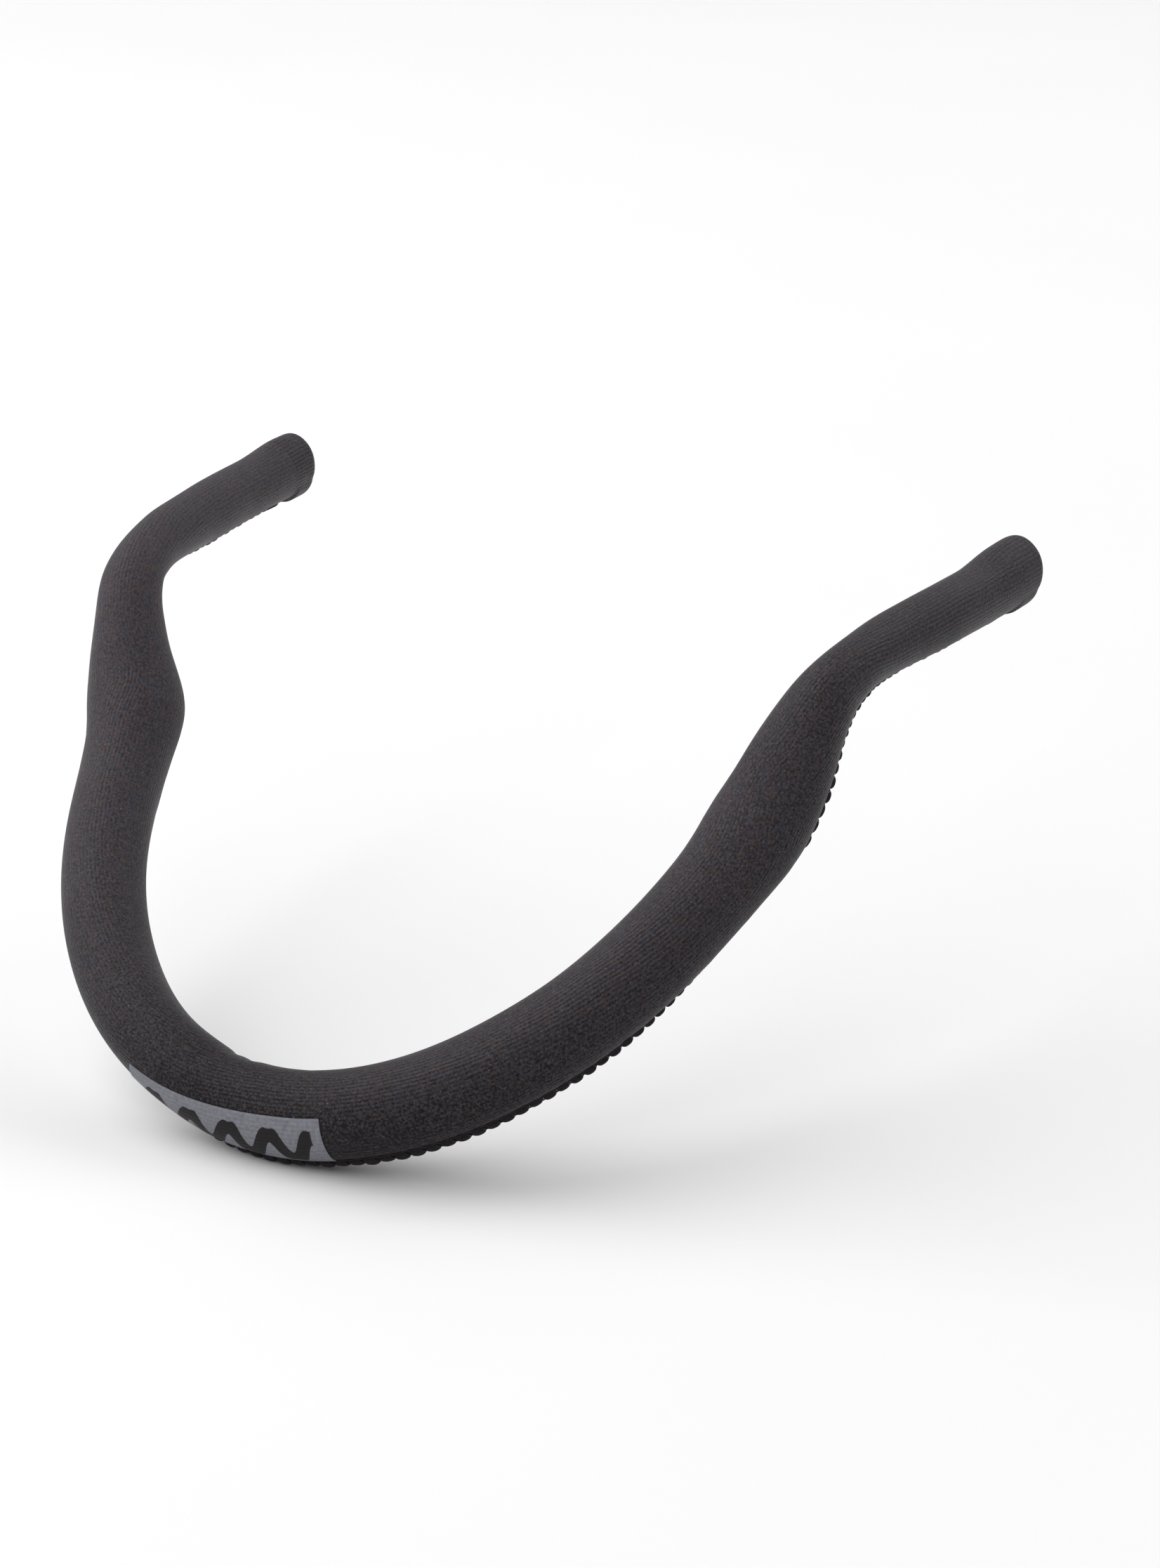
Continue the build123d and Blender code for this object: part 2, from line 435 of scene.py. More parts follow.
def cuff_radius(distance, angle):
    """Outer radius of the cuff, with the lump where the seam is folded in behind its lip."""
    side = wrapped(angle)
    crease = LUMP_CREASE * gaussian(np.abs(side) - LUMP_CREASE_TURN, LUMP_CREASE_SPREAD)
    lump = LUMP_HEIGHT * gaussian(side, LUMP_WIDTH) - crease
    return sleeve_radius(distance, angle) + lump * smoothstep((LUMP_END - from_mouth(distance)) / LUMP_OVER)


def surface_point(distance, angle, radius):
    """Points in metres at a distance, an angle from the seam and a radius in mm."""
    centre, _, seam, across = LINE.frames(distance)
    cos, sin = np.cos(angle)[..., None], np.sin(angle)[..., None]
    return (centre + np.asarray(radius)[..., None] * (cos * seam + sin * across)) * MM


# ---------------------------------------------------------------- cloth

class Settled:
    """How far the float's sleeve moves off its even shape when its fabric is left to settle."""

    def __init__(self):
        self.moved = np.zeros((CLOTH_ROWS, CLOTH_COLUMNS))

    def at(self, distance, angle):
        """The move at any place on the float, in mm, between the simulated points."""
        span = LINE.length - 2.0 * NECK_END
        row = np.clip((distance - NECK_END) / span, 0.0, 1.0) * (CLOTH_ROWS - 1)
        column = (angle % (2.0 * math.pi)) / (2.0 * math.pi) * CLOTH_COLUMNS
        low = np.minimum(row.astype(int), CLOTH_ROWS - 2)
        left = column.astype(int) % CLOTH_COLUMNS
        right = (left + 1) % CLOTH_COLUMNS
        down, across = smoothstep(row - low), smoothstep(column - np.floor(column))
        near = self.moved[low, left] * (1.0 - across) + self.moved[low, right] * across
        far = self.moved[low + 1, left] * (1.0 - across) + self.moved[low + 1, right] * across
        return near * (1.0 - down) + far * down

    def run(self):
        """Cloth simulation of the sleeve, held along its seam and at both ends, over the foam rod."""
        distance = np.linspace(NECK_END, LINE.length - NECK_END, CLOTH_ROWS)[:, None]
        angle = np.linspace(0.0, 2.0 * math.pi, CLOTH_COLUMNS, endpoint=False)[None, :]
        distance, angle = distance + 0.0 * angle, angle + 0.0 * distance
        radius = sleeve_radius(distance, angle)
        start = surface_point(distance, angle, radius) * CLOTH_SCALE
        under = surface_point(distance, angle, radius - CLOTH_CLEARANCE) * CLOTH_SCALE
        faces = grid_faces(CLOTH_ROWS, CLOTH_COLUMNS, True)
        skin = new_mesh("settling_skin", start.reshape(-1, 3), faces)
        core = new_mesh("settling_core", under.reshape(-1, 3), faces)
        self.hold(skin, distance, angle)
        core.modifiers.new("collision", "COLLISION")
        core.collision.thickness_outer = 0.002
        self.stiffen(skin.modifiers.new("cloth", "CLOTH"))
        scene = bpy.context.scene
        for frame_number in range(1, CLOTH_FRAMES + 1):
            scene.frame_set(frame_number)
        settled = skin.evaluated_get(bpy.context.evaluated_depsgraph_get()).data
        points = np.zeros(start.size)
        settled.vertices.foreach_get("co", points)
        outward = unit(start - under)
        self.moved = ((points.reshape(start.shape) - start) * outward).sum(-1) / (MM * CLOTH_SCALE)
        self.moved = np.clip(self.moved, -CLOTH_CAP, CLOTH_CAP)
        scene.frame_set(1)
        for helper in (skin, core):
            bpy.data.objects.remove(helper)

    def hold(self, skin, distance, angle):
        """Pins the seam and the ends, and leaves fabric to spare inside the bend."""
        pinned = skin.vertex_groups.new(name="held")
        spare = skin.vertex_groups.new(name="spare")
        inside = gaussian(wrapped(angle - math.pi - 0.7), 0.9)
        tight = gaussian(from_mouth(distance) - 150.0, 45.0)
        held = (np.abs(wrapped(angle)) < 0.1) | (distance == distance.min()) | (distance == distance.max())
        for index, (fixed, share) in enumerate(zip(held.ravel(), (inside * tight).ravel())):
            if fixed:
                pinned.add([index], 1.0, "REPLACE")
            spare.add([index], float(share), "REPLACE")

    def stiffen(self, modifier):
        cloth = modifier.settings
        cloth.quality = 6
        cloth.mass = 0.3
        cloth.tension_stiffness = cloth.compression_stiffness = 20.0
        cloth.shear_stiffness = 8.0
        cloth.bending_stiffness = 4.0
        cloth.effector_weights.gravity = 0.0
        cloth.use_pressure = True
        cloth.uniform_pressure_force = 0.6
        cloth.vertex_group_mass = "held"
        cloth.vertex_group_shrink = "spare"
        cloth.shrink_min = -0.004
        cloth.shrink_max = -CLOTH_SPARE
        modifier.collision_settings.distance_min = 0.002
        modifier.collision_settings.collision_quality = 2


SETTLED = Settled()


# ---------------------------------------------------------------- mesh helpers

def grid_faces(rows, columns, closed):
    """Quads over a grid of points, closed round its columns if asked."""
    row = np.arange(rows - 1)[:, None]
    column = np.arange(columns if closed else columns - 1)[None, :]
    beside = (column + 1) % columns
    quad = np.stack([row * columns + column, row * columns + beside,
                     (row + 1) * columns + beside, (row + 1) * columns + column], axis=-1)
    return quad.reshape(-1, 4)


def new_mesh(name, points, faces, uvs=None):
    """A mesh object. uvs are a pair for each corner of each face."""
    mesh = bpy.data.meshes.new(name)
    mesh.from_pydata(np.asarray(points, float).tolist(), [], [list(map(int, face)) for face in faces])
    if uvs is not None:
        layer = mesh.uv_layers.new(name="fabric")
        layer.data.foreach_set("uv", np.asarray(uvs, np.float32).ravel())
    mesh.polygons.foreach_set("use_smooth", [True] * len(mesh.polygons))
    mesh.set_sharp_from_angle(angle=math.radians(SHARP_ANGLE))
    mesh.update()
    piece = bpy.data.objects.new(name, mesh)
    bpy.context.scene.collection.objects.link(piece)
    return piece


def closed_sweep(name, rings, around_mm, along_mm):
    """A closed mesh over rings of points, each ring a closed loop, joined in a loop of rings.

    around_mm and along_mm give each point's place on the flat fabric, for the weave."""
    rows, columns = rings.shape[:2]
    faces = grid_faces(rows + 1, columns, True) % (rows * columns)
    last, one_before = around_mm[:, -1:], around_mm[:, -2:-1]
    wrap = np.concatenate([around_mm, last + (last - one_before)], axis=1)
    uvs = []
    for row, column in ((0, 0), (0, 1), (1, 1), (1, 0)):
        r = (np.arange(rows) + row) % rows
        u = wrap[r][:, column:column + columns]
        v = along_mm[r][:, :1] + np.zeros_like(u)
        uvs.append(np.stack([u, v], axis=-1).reshape(-1, 2))
    uvs = np.stack(uvs, axis=1).reshape(-1, 2)
    return new_mesh(name, rings.reshape(-1, 3), faces, uvs)


# ---------------------------------------------------------------- fabric pieces

def ring_angles():
    """Angles round the tube, starting at the seam so that the weave breaks there."""
    return np.linspace(0.0, 2.0 * math.pi, AROUND, endpoint=False)


def fabric_round(distance, angle):
    """How far round the flat fabric a point is, in mm, from the side opposite the seam."""
    return (angle - math.pi) * smooth_table(from_mouth(distance), SLEEVE_SHAPE)


def make_sleeve(name, start, end):
    """A closed length of hollow sleeve between two stations."""
    count = max(2, int(round((end - start) / STEP)) + 1)
    distance = np.linspace(start, end, count)[:, None] + np.zeros((1, AROUND))
    angle = ring_angles()[None, :] + np.zeros((count, 1))
    outside, inside = sleeve_radius(distance, angle), sleeve_inside(distance, angle)
    rings = np.concatenate([surface_point(distance, angle, outside),
                            surface_point(distance[::-1], angle, inside[::-1])])
    flat = fabric_round(distance, angle)
    around_mm = np.concatenate([flat, flat[::-1]])
    along_mm = np.concatenate([distance, distance[::-1]])
    return closed_sweep(name, rings, around_mm, along_mm)


def sleeve_inside(distance, angle):
    """Inner radius of the sleeve: a wall's depth in, and never wider than the socket along the grip."""
    inside = sleeve_radius(distance, angle) - WALL
    return np.where(from_mouth(distance) < GRIP_END + 1.0, np.minimum(inside, SOCKET_RADIUS), inside)


def make_cuff(name, side):
    """The sleeve's end, rolled over a rounded lip and back into the socket."""
    angle = ring_angles()[None, :]
    outer_rows = np.linspace(CUFF_LENGTH, LIP_DEPTH, CUFF_RINGS)[:, None] + 0.0 * angle
    lip_turn = np.linspace(0.0, math.pi, LIP_RINGS + 2)[1:-1, None]
    inner_rows = np.linspace(LIP_DEPTH, CUFF_LENGTH, SOCKET_RINGS)[:, None] + 0.0 * angle
    lip_outer = cuff_radius(on_side(LIP_DEPTH + 0.0 * angle, side), angle)
    middle, half = (lip_outer + SOCKET_RADIUS) / 2.0, (lip_outer - SOCKET_RADIUS) / 2.0
    lip_radius = middle + half * np.sign(np.cos(lip_turn)) * np.abs(np.cos(lip_turn)) ** LIP_ROUNDNESS
    lip_rows = LIP_DEPTH - LIP_DEPTH * np.sin(lip_turn) ** LIP_ROUNDNESS + 0.0 * angle
    outer_radius = cuff_radius(on_side(outer_rows, side), angle)
    rows = np.concatenate([outer_rows, lip_rows, inner_rows])
    radius = np.concatenate([outer_radius, lip_radius, SOCKET_RADIUS + 0.0 * inner_rows])
    shorter, tilt = (LEFT_SHORTER, LEFT_TILT) if side == "left" else (0.0, RIGHT_TILT)
    slant = shorter + tilt * np.cos(angle) - LUMP_FORWARD * gaussian(wrapped(angle), 1.1)
    slant = slant * smoothstep((CUFF_LENGTH - rows) / CUFF_LENGTH)
    rings = surface_point(on_side(rows + slant, side), angle + 0.0 * rows, radius)
    along_mm = np.concatenate([outer_rows, LIP_DEPTH * (1.0 - 0.8 * lip_turn) + 0.0 * angle,
                               -5.0 - inner_rows])
    piece = closed_sweep(name, rings, fabric_round(rows, angle + 0.0 * rows), along_mm)
    if side == "left":
        piece.data.flip_normals()
    return piece


# ---------------------------------------------------------------- seam

def notch(index):
    return SEAM_START + PITCH * index


def nearest_notch(distance):
    return notch(round((distance - SEAM_START) / PITCH))


def fin_section(share, lobe):
    """Half-width and height across the fin, for places from -1 to 1, at a lobe from 0 to 1."""
    width = FIN_HALF_WIDTH * (FIN_NARROWEST + (1.0 - FIN_NARROWEST) * lobe)
    height = NOTCH_HEIGHT + (FIN_HEIGHT - NOTCH_HEIGHT) * lobe
    dome = (1.0 - np.abs(share) ** 3.2) ** 0.45
    groove = GROOVE_DEPTH * lobe * gaussian(share, GROOVE_SPREAD)
    return width * share, height * dome - groove


def make_fin(name, start, end):
    """The scalloped edge of the seam allowance between two notches."""
    stitches = round((end - start) / PITCH)
    count = stitches * RINGS_PER_STITCH + 1
    distance = np.linspace(start, end, count)
    phase = np.linspace(0.0, stitches, count)
    slant = LOBE_SLANT * np.sin(2.0 * math.pi * phase)
    uneven = np.random.default_rng(stitches).uniform(*LOBES_BETWEEN, stitches + 1)[phase.astype(int)]
    near = from_mouth(distance)
    fuller = 0.75 + 0.25 * smoothstep((near - 45.0) / 20.0)
    ends = smoothstep((near - SEAM_START) / 0.8)
    lobe = np.abs(np.sin(math.pi * (phase + slant))) ** 0.6 * uneven * fuller * ends
    share = np.linspace(-1.0, 1.0, 17)
    sideways, height = fin_section(share[None, :], lobe[:, None])
    base = sleeve_radius(distance, np.zeros_like(distance))[:, None]
    below = FIN_FOOT * np.ones((count, 1))
    sideways = np.concatenate([sideways, sideways[:, -1:], sideways[:, :1]], axis=1)
    height = np.concatenate([height, below, below], axis=1)
    centre, _, seam, across = LINE.frames(distance)
    rings = centre[:, None] + (base + height - FIN_SUNK)[..., None] * seam[:, None]
    rings = (rings + sideways[..., None] * across[:, None]) * MM
    columns = rings.shape[1]
    faces = [tuple(face) for face in grid_faces(count, columns, True)]
    faces.append(tuple(range(columns))[::-1])
    faces.append(tuple((count - 1) * columns + k for k in range(columns)))
    return new_mesh(name, rings.reshape(-1, 3), faces)


def thread_tube(paths, radius):
    """Points and faces of round threads that follow open paths of points in metres."""
    points, faces, total = [], [], 0
    sides = 7
    turn = np.linspace(0.0, 2.0 * math.pi, sides, endpoint=False)
    for path in paths:
        along = unit(np.gradient(path, axis=0))
        other = unit(np.cross(along, np.roll(along, 1, axis=1) + 0.31))
        third = np.cross(along, other)
        ring = np.cos(turn)[None, :, None] * other[:, None] + np.sin(turn)[None, :, None] * third[:, None]
        points.append((path[:, None] + radius * MM * ring).reshape(-1, 3))
        quads = grid_faces(len(path), sides, True) + total
        faces += [tuple(face) for face in quads]
        faces.append(tuple(range(total, total + sides))[::-1])
        last = total + (len(path) - 1) * sides
        faces.append(tuple(range(last, last + sides)))
        total += len(path) * sides
    return np.concatenate(points), faces


def on_seam(distance, sideways, height):
    """Points in metres beside the seam line, by mm sideways along the skin and mm above it."""
    angle = sideways / sleeve_radius(distance, np.zeros_like(distance))
    radius = sleeve_radius(distance, angle) + height
    return surface_point(distance, angle, radius)


def wrap_path(place, lift):
    """One looper thread: out of a needle hole, over the notch and into the hole on the other side."""
    share = np.linspace(-1.0, 1.0, 13)
    sideways = HOLE_SIDEWAYS * np.sign(share) * np.abs(share) ** 1.25
    height = lift * np.clip(1.0 - np.abs(share) ** 2.4, 0.0, 1.0) ** 0.6 - THREAD_SUNK
    return on_seam(place + THREAD_SLANT * share, sideways, height)


def run_path(start, end, side):
    """The needle thread from one hole to the next, on one side of the fin."""
    share = np.linspace(0.0, 1.0, 6)
    height = 0.1 * np.sin(math.pi * share) - THREAD_SUNK
    return on_seam(start + (end - start) * share, np.full(6, HOLE_SIDEWAYS * side), height)


def make_stitches(name, start, end):
    """The overlock's threads between two notches, one loop to each stitch."""
    stitches = round((end - start) / PITCH)
    step = (end - start) / stitches
    paths = [wrap_path(start + step * (k + 0.02), NOTCH_HEIGHT + 0.12) for k in range(stitches)]
    for side in (-1, 1):
        first = start + THREAD_SLANT * side
        paths += [run_path(first + step * k, first + step * (k + 1), side) for k in range(stitches)]
    points, faces = thread_tube(paths, THREAD_RADIUS)
    return new_mesh(name, points, faces)


def make_tack(name, side):
    """The dense bar of thread that closes the seam's end."""
    start, end = (SEAM_START - reach for reach in TACK_REACH)
    places = on_side(np.linspace(start, end, TACK_THREADS), side)
    paths = [wrap_path(place + TACK_ZIGZAG * (-1) ** k, TACK_LIFT) for k, place in enumerate(places)]
    points, faces = thread_tube(paths, TACK_RADIUS)
    return new_mesh(name, points, faces)


# ---------------------------------------------------------------- label

def make_label(name):
    """A thin printed panel that follows the outside of the float."""
    rows, columns = 90, 24
    distance = np.linspace(LABEL_START, LABEL_START + LABEL_LENGTH, rows)[:, None] + np.zeros((1, columns))
    degrees = np.linspace(LABEL_FROM_SEAM, LABEL_FROM_SEAM + LABEL_SPAN, columns)[None, :]
    angle = np.radians(degrees) + np.zeros((rows, 1))
    under = sleeve_radius(distance, angle) + 0.02
    sheet = [surface_point(distance, angle, under + LABEL_THICKNESS), surface_point(distance, angle, under)]
    points = np.concatenate([layer.reshape(-1, 3) for layer in sheet])
    top = grid_faces(rows, columns, False)
    bottom = top[:, ::-1] + rows * columns
    edge = list(range(columns)) + [r * columns + columns - 1 for r in range(1, rows)]
    edge += [(rows - 1) * columns + c for c in range(columns - 2, -1, -1)]
    edge += [r * columns for r in range(rows - 2, 0, -1)]
    sides = [(b, a, a + rows * columns, b + rows * columns) for a, b in zip(edge, edge[1:] + edge[:1])]
    faces = [tuple(f) for f in top] + [tuple(f) for f in bottom] + sides
    flat_u = (distance - LABEL_START).ravel()
    flat_v = (np.radians(degrees - LABEL_FROM_SEAM) * LABEL_RADIUS + np.zeros((rows, 1))).ravel()
    flat = np.stack([np.tile(flat_u, 2), np.tile(flat_v, 2)], axis=1)
    uvs = np.concatenate([flat[list(face)] for face in faces])
    return new_mesh(name, points, faces, uvs)


# ---------------------------------------------------------------- materials

class Nodes:
    """A short way to write a material's nodes."""

    def __init__(self, name):
        self.material = bpy.data.materials.new(name)
        self.material.use_nodes = True
        self.tree = self.material.node_tree
        self.shader = self.tree.nodes["Principled BSDF"]

    def add(self, kind, inputs=None, **settings):
        node = self.tree.nodes.new("ShaderNode" + kind)
        for key, value in settings.items():
            setattr(node, key, value)
        for key, value in (inputs or {}).items():
            self.put(value, node.inputs[key])
        return node

    def put(self, value, socket):
        if isinstance(value, bpy.types.NodeSocket):
            self.tree.links.new(value, socket)
        else:
            socket.default_value = value

    def math(self, operation, *values, clamp=False):
        node = self.add("Math", operation=operation, use_clamp=clamp)
        for socket, value in zip(node.inputs, values):
            self.put(value, socket)
        return node.outputs[0]

    def noise(self, scale, detail=2.0, vector=None, roughness=0.5):
        node = self.add("TexNoise", {"Scale": scale, "Detail": detail, "Roughness": roughness})
        self.put(vector or self.object_place(), node.inputs["Vector"])
        return node.outputs["Fac"]

    def object_place(self):
        return self.add("TexCoord").outputs["Object"]

    def fabric(self):
        """How far round and along the flat fabric a point is, in mm."""
        uv = self.add("UVMap", uv_map="fabric").outputs["UV"]
        split = self.add("SeparateXYZ", {"Vector": uv})
        return split.outputs["X"], split.outputs["Y"]

    def wave(self, value, pitch):
        """0 to 1 and back over each pitch."""
        sine = self.math("SINE", self.math("MULTIPLY", value, 2.0 * math.pi / pitch))
        return self.math("MULTIPLY_ADD", sine, 0.5, 0.5)

    def mix(self, share, low, high):
        node = self.add("Mix", data_type="RGBA")
        self.put(share, node.inputs[0])
        self.put(low, node.inputs[6])
        self.put(high, node.inputs[7])
        return node.outputs[2]

    def ramp(self, value, low, high):
        """value moved from low..high to 0..1."""
        node = self.add("MapRange", {"Value": value, "From Min": low, "From Max": high})
        return node.outputs["Result"]

    def table(self, value, rows):
        """A value that eases between the rows of a table of places and shares."""
        first, last = rows[0][0], rows[-1][0]
        node = self.add("ValToRGB", {"Fac": self.ramp(value, first, last)})
        steps = node.color_ramp.elements
        for place, share in rows[1:-1]:
            steps.new((place - first) / (last - first))
        for step, (_, share) in zip(steps, rows):
            step.color = colour(share, share, share)
        return node.outputs["Color"]

    def bump(self, height, distance, strength):
        node = self.add("Bump", {"Height": height, "Distance": distance, "Strength": strength})
        self.put(node.outputs["Normal"], self.shader.inputs["Normal"])


def colour(red, green, blue):
    return (red, green, blue, 1.0)


def knit(nodes):
    """Height of the jersey's lengthwise wales and the small loops along them."""
    around, along = nodes.fabric()
    drift = nodes.math("MULTIPLY_ADD", nodes.noise(140.0), 0.5, around)
    drawn_out = nodes.add("CombineXYZ", {"X": around, "Y": nodes.math("MULTIPLY", along, 0.16)})
    wander = nodes.noise(1.3, vector=drawn_out.outputs["Vector"])
    wales = nodes.wave(nodes.math("MULTIPLY_ADD", wander, 0.34, drift), WALE_PITCH)
    uneven = nodes.math("MULTIPLY_ADD", nodes.noise(800.0, 3.0), 0.7, along)
    loops = nodes.wave(nodes.math("MULTIPLY_ADD", wales, 0.16, uneven), 0.46)
    return wales, loops


def painted_wale_highlight(nodes):
    """Where painted highlight lightens the wale tops: mostly on the upper side, where the light falls, in
    patches, and as the table gives along the strap.
    """
    around, along = nodes.fabric()
    patches = nodes.math("MULTIPLY_ADD", nodes.ramp(nodes.noise(38.0, 2.0), 0.36, 0.52), 0.6, 0.4)
    upper = nodes.ramp(nodes.math("ABSOLUTE", around), 14.0, 8.0)
    upper = nodes.math("MULTIPLY_ADD", upper, 0.85, 0.15)
    shown = nodes.table(along, WALE_HIGHLIGHT_ALONG)
    return nodes.math("MULTIPLY", nodes.math("MULTIPLY", patches, upper), shown)


def jersey_material():
    nodes = Nodes("charcoal_jersey")
    around, along = nodes.fabric()
    wales, loops = knit(nodes)
    fine = nodes.ramp(nodes.noise(2500.0, 3.0, roughness=0.6), 0.38, 0.66)
    patches = nodes.noise(60.0, 3.0)
    # Painted highlight: clear masks lighter streaks painted on the wale tops, mostly on the upper side
    # where the light falls
    clear = painted_wale_highlight(nodes)
    wale_highlight_streaks = nodes.math("SUBTRACT", nodes.math("POWER", wales, 0.8), 0.55)
    wale_highlight_streaks = nodes.math("MULTIPLY_ADD", wale_highlight_streaks, clear, 0.42)
    light = nodes.math("MULTIPLY_ADD", wale_highlight_streaks, 0.5, nodes.math("MULTIPLY", loops, 0.03))
    speckle = nodes.math("MULTIPLY_ADD", clear, -0.3, 0.8)
    light = nodes.math("MULTIPLY_ADD", nodes.math("SUBTRACT", fine, 0.5), speckle, light)
    # Painted light and shade: the top drawn lighter and the lower sides darker, and lighter or darker along
    # the strap by the table
    painted_underside_shade = nodes.ramp(nodes.math("ABSOLUTE", around), 8.0, 17.0)
    painted_light_and_shade = nodes.math("MULTIPLY_ADD", painted_underside_shade, -0.25, nodes.table(along, PAINTED_LIGHT_ALONG))
    light = nodes.math("ADD", light, painted_light_and_shade)
    light = nodes.math("MULTIPLY_ADD", patches, 0.16, nodes.math("SUBTRACT", light, 0.07), clamp=True)
    warm = nodes.mix(nodes.ramp(nodes.noise(900.0, 2.0), 0.4, 0.6), WARM_DYE, COOL_DYE)
    specks = nodes.ramp(nodes.noise(3800.0, 1.0), 0.735, 0.78)
    rim = nodes.ramp(nodes.math("ABSOLUTE", nodes.math("SUBTRACT", along, RIM_PLACE)), RIM_HALF_WIDTH, 0.0)
    pale = nodes.math("MAXIMUM", specks, nodes.math("MULTIPLY", rim, nodes.ramp(fine, -0.4, 1.2)))
    nodes.put(nodes.mix(pale, nodes.mix(light, DARK_DYE, warm), LINT), nodes.shader.inputs["Base Color"])
    height = nodes.math("MULTIPLY_ADD", wales, 0.6, nodes.math("MULTIPLY", loops, 0.08))
    height = nodes.math("MULTIPLY_ADD", fine, 0.5, height)
    nodes.bump(height, 0.00012, 0.7)
    nodes.put(nodes.ramp(patches, -0.6, 1.6), nodes.shader.inputs["Roughness"])
    finish_cloth(nodes, 0.05)
    return nodes.material


def finish_cloth(nodes, sheen):
    nodes.shader.inputs["Sheen Weight"].default_value = sheen
    nodes.shader.inputs["Sheen Roughness"].default_value = 0.45
    nodes.shader.inputs["Sheen Tint"].default_value = colour(0.75, 0.73, 0.78)
    nodes.shader.inputs["Specular IOR Level"].default_value = 0.12


def seam_material():
    nodes = Nodes("seam_edge")
    fuzz = nodes.noise(3200.0, 3.0)
    grain = nodes.noise(900.0, 2.0)
    light = nodes.math("MULTIPLY_ADD", fuzz, 0.6, nodes.math("MULTIPLY", grain, 0.4))
    dark, pale = colour(0.006, 0.005, 0.006), colour(0.03, 0.025, 0.028)
    nodes.put(nodes.mix(nodes.ramp(light, 0.3, 0.75), dark, pale), nodes.shader.inputs["Base Color"])
    nodes.bump(light, 0.00012, 0.7)
    nodes.put(nodes.ramp(grain, -1.5, 1.2), nodes.shader.inputs["Roughness"])
    finish_cloth(nodes, 0.04)
    return nodes.material


def thread_material():
    nodes = Nodes("nylon_thread")
    strands = nodes.noise(5200.0, 1.0)
    shade = nodes.noise(300.0, 2.0)
    dark, pale = colour(0.005, 0.0045, 0.005), colour(0.026, 0.023, 0.025)
    nodes.put(nodes.mix(nodes.ramp(strands, 0.35, 0.7), dark, pale), nodes.shader.inputs["Base Color"])
    nodes.bump(strands, 0.00005, 0.6)
    nodes.put(nodes.ramp(shade, -0.4, 1.6), nodes.shader.inputs["Roughness"])
    finish_cloth(nodes, 0.03)
    return nodes.material


def foam_material():
    nodes = Nodes("closed_cell_foam")
    cells = nodes.add("TexVoronoi", {"Scale": 1500.0, "Vector": nodes.object_place()})
    edge = nodes.ramp(cells.outputs["Distance"], 0.1, 0.6)
    nodes.put(nodes.mix(edge, colour(0.11, 0.11, 0.115), colour(0.04, 0.04, 0.043)),
              nodes.shader.inputs["Base Color"])
    nodes.bump(cells.outputs["Distance"], 0.0002, 0.5)
    nodes.put(nodes.ramp(nodes.noise(200.0), -1.0, 1.3), nodes.shader.inputs["Roughness"])
    return nodes.material


def print_material():
    """Flat grey ink with a plain dark wave, on the knit that shows through it."""
    nodes = Nodes("screen_print")
    along, around = nodes.fabric()
    turn = nodes.math("MULTIPLY", along, 2.0 * math.pi / WAVE_PITCH)
    swing = nodes.math("MULTIPLY", nodes.math("SINE", turn), WAVE_SWING)
    slope = nodes.math("MULTIPLY", nodes.math("COSINE", turn), WAVE_SWING * 2.0 * math.pi / WAVE_PITCH)
    away = nodes.math("SUBTRACT", nodes.math("SUBTRACT", around, WAVE_MIDDLE), swing)
    steepness = nodes.math("SQRT", nodes.math("MULTIPLY_ADD", slope, slope, 1.0))
    away = nodes.math("ABSOLUTE", nodes.math("DIVIDE", away, steepness))
    rough_edge = nodes.math("MULTIPLY_ADD", nodes.noise(2400.0, 2.0), 0.14, -0.07)
    stripe = nodes.ramp(nodes.math("ADD", away, rough_edge),
                        WAVE_HALF_WIDTH + EDGE_SOFTNESS, WAVE_HALF_WIDTH - EDGE_SOFTNESS)
    edge, inner = LABEL_PLAIN_EDGE, LABEL_PLAIN_EDGE + 0.2
    inset = nodes.math("MINIMUM", nodes.ramp(along, edge, inner),
                       nodes.ramp(along, LABEL_LENGTH - edge, LABEL_LENGTH - inner))
    stripe = nodes.math("MULTIPLY", stripe, inset)
    wales = nodes.wave(around, LABEL_WALE_PITCH)
    worn = nodes.noise(1800.0, 3.0)
    light = nodes.math("MULTIPLY_ADD", wales, 0.25, nodes.ramp(worn, 0.25, 0.8))
    ink = nodes.mix(light, colour(0.121, 0.125, 0.141), colour(0.21, 0.216, 0.243))
    nodes.put(nodes.mix(stripe, ink, colour(0.014, 0.012, 0.013)), nodes.shader.inputs["Base Color"])
    height = nodes.math("MULTIPLY_ADD", worn, 0.6, wales)
    nodes.bump(height, 0.00005, 0.5)
    nodes.put(nodes.ramp(worn, -1.0, 1.6), nodes.shader.inputs["Roughness"])
    finish_cloth(nodes, 0.03)
    return nodes.material


def floor_material():
    nodes = Nodes("pale_floor")
    nodes.put(nodes.mix(nodes.noise(8.0, 2.0), colour(0.83, 0.83, 0.83), colour(0.86, 0.86, 0.86)),
              nodes.shader.inputs["Base Color"])
    nodes.shader.inputs["Roughness"].default_value = 0.9
    nodes.shader.inputs["Specular IOR Level"].default_value = 0.1
    return nodes.material


def wear(piece, material):
    piece.data.materials.clear()
    piece.data.materials.append(material)
    return piece


# ---------------------------------------------------------------- assembly

def attach(piece, side, stretch):
    """Makes a grip piece follow its side's grip body; any other piece keeps its place, its transform baked
    into its mesh.
    """
    if stretch == "grip":
        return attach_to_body(piece, side + "_grip")
    ends = BEND_BLEND if stretch == "bend" else NECK_BLEND
    start, end = (LINE.frames(on_side(np.array(distance), side))[0] * MM for distance in ends)
    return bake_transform(piece)


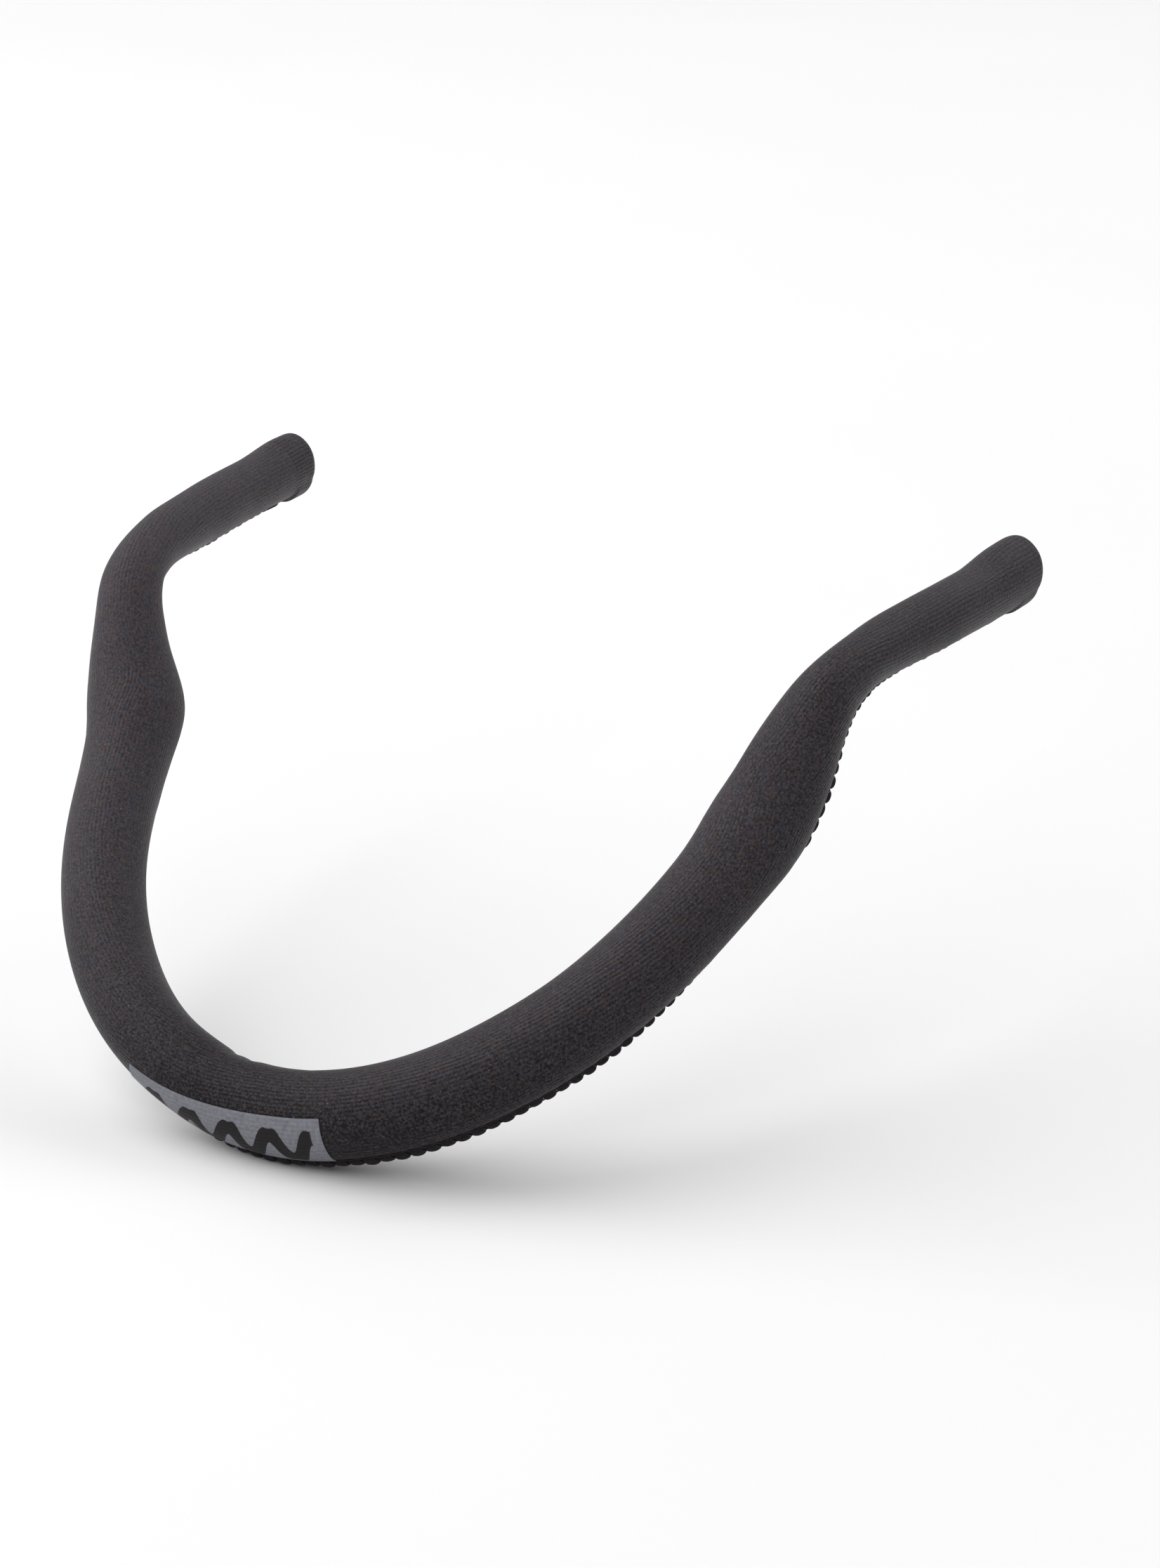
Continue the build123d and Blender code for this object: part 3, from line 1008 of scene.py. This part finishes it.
def finish_piece(piece, material, slot, stands_for):
    wear(piece, material)
    if stands_for:
        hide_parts(*stands_for)
    return piece


def both_sides(make, name, look, stretch, stands_for, *ends):
    """Makes and places a piece for each side. ends are distances from that side's mouth."""
    for side in ("right", "left"):
        places = sorted(on_side(end, side) for end in ends) or [side]
        piece = make(side + "_" + name, *places)
        finish_piece(piece, *look, [side + "_" + node for node in stands_for])
        attach(piece, side, stretch)


def build_sleeves(look):
    both_sides(make_cuff, "cuff_skin", look, "grip", ["cuff"])
    both_sides(make_sleeve, "grip_skin", look, "grip", ["grip_sleeve"], CUFF_LENGTH, GRIP_END)
    both_sides(make_sleeve, "ear_bend_skin", look, "bend", ["bend_sleeve", "ear_sleeve"],
               GRIP_END, BEND_END)
    both_sides(make_sleeve, "neck_skin", look, "neck", ["neck_sleeve"], BEND_END, NECK_END)
    skin = make_sleeve("float_skin", NECK_END, LINE.length - NECK_END)
    finish_piece(skin, *look, ["float_cover"])
    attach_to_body(skin, "float")


def build_seams(edge_look, thread_look):
    cuts = [SEAM_START] + [nearest_notch(cut) for cut in (GRIP_END, BEND_END, NECK_END)]
    stretches = [("grip", ["grip_seam"]), ("bend", ["bend_seam", "ear_seam"]), ("neck", ["neck_seam"])]
    for (stretch, nodes), *ends in zip(stretches, cuts, cuts[1:]):
        both_sides(make_fin, stretch + "_seam_edge", edge_look, stretch, nodes, *ends)
        both_sides(make_stitches, stretch + "_stitches", thread_look, stretch, [], *ends)
    both_sides(make_tack, "cuff_bar_tack", thread_look, "grip", ["cuff_tack"])
    ends = cuts[-1], LINE.length - cuts[-1]
    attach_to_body(finish_piece(make_fin("float_seam_edge", *ends), *edge_look, ["float_seam"]), "float")
    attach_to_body(finish_piece(make_stitches("float_stitches", *ends), *thread_look, []), "float")


def build_label():
    label = finish_piece(make_label("float_label"), print_material(), "print", ["label_print"])
    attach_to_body(label, "float")


# ---------------------------------------------------------------- setting

def build_floor():
    """A pale floor that the middle of the float touches."""
    mesh = bpy.data.meshes.new("floor")
    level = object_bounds()[0][2]
    turn = np.linspace(0.0, 2.0 * math.pi, 64, endpoint=False)
    rim = [(FLOOR_RADIUS * math.cos(t), FLOOR_RADIUS * math.sin(t), level) for t in turn]
    mesh.from_pydata(rim, [], [tuple(range(64))])
    floor = bpy.data.objects.new("floor", mesh)
    bpy.context.scene.collection.objects.link(floor)
    wear(floor, floor_material())


def area_light(name, place, size, power, target):
    light = bpy.data.lights.new(name, "AREA")
    light.shape = "DISK"
    light.size = size
    light.energy = power
    lamp = bpy.data.objects.new(name, light)
    lamp.location = place
    direction = np.array(target) - np.array(place)
    lamp.rotation_mode = "QUATERNION"
    lamp.rotation_quaternion = Vector(direction).to_track_quat("-Z", "Y")
    bpy.context.scene.collection.objects.link(lamp)


def build_lights():
    for light in LIGHTS:
        area_light(*light, LIGHTS_AIM)
    world = bpy.data.worlds.new("studio")
    world.use_nodes = True
    background = world.node_tree.nodes["Background"]
    background.inputs["Color"].default_value = colour(1.0, 1.0, 1.0)
    background.inputs["Strength"].default_value = WORLD_STRENGTH
    bpy.context.scene.world = world


def build_camera():
    """A long lens from behind the wearer's right shoulder, a little above."""
    azimuth, elevation, roll = (math.radians(a) for a in (VIEW_AZIMUTH, VIEW_ELEVATION, VIEW_ROLL))
    back = np.array([math.sin(azimuth) * math.cos(elevation),
                     -math.cos(azimuth) * math.cos(elevation), math.sin(elevation)])
    level = np.array([math.cos(azimuth), math.sin(azimuth), 0.0])
    upright = np.cross(back, level)
    right = math.cos(roll) * level + math.sin(roll) * upright
    up = -math.sin(roll) * level + math.cos(roll) * upright
    mouths = np.array([0.0, RIGHT_HALF[0][1], RIGHT_HALF[0][2]])
    place = (mouths + VIEW_DISTANCE * back - VIEW_RIGHT * right - VIEW_UP * up) * MM
    data = bpy.data.cameras.new("camera")
    data.sensor_width = SENSOR
    data.lens = LENS
    data.clip_start = 0.01
    camera = bpy.data.objects.new("camera", data)
    rows = [[right[k], up[k], back[k], place[k]] for k in range(3)]
    camera.matrix_world = Matrix(rows + [[0, 0, 0, 1]])
    bpy.context.scene.collection.objects.link(camera)
    bpy.context.scene.camera = camera


def main():
    build_camera()
    SETTLED.run()
    build_sleeves((jersey_material(), "jersey"))
    build_seams((seam_material(), "seam_edge"), (thread_material(), "thread"))
    build_label()
    wear(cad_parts["foam_core"], foam_material())
    build_floor()
    build_lights()
    bpy.context.scene.view_settings.view_transform = "Standard"


main()
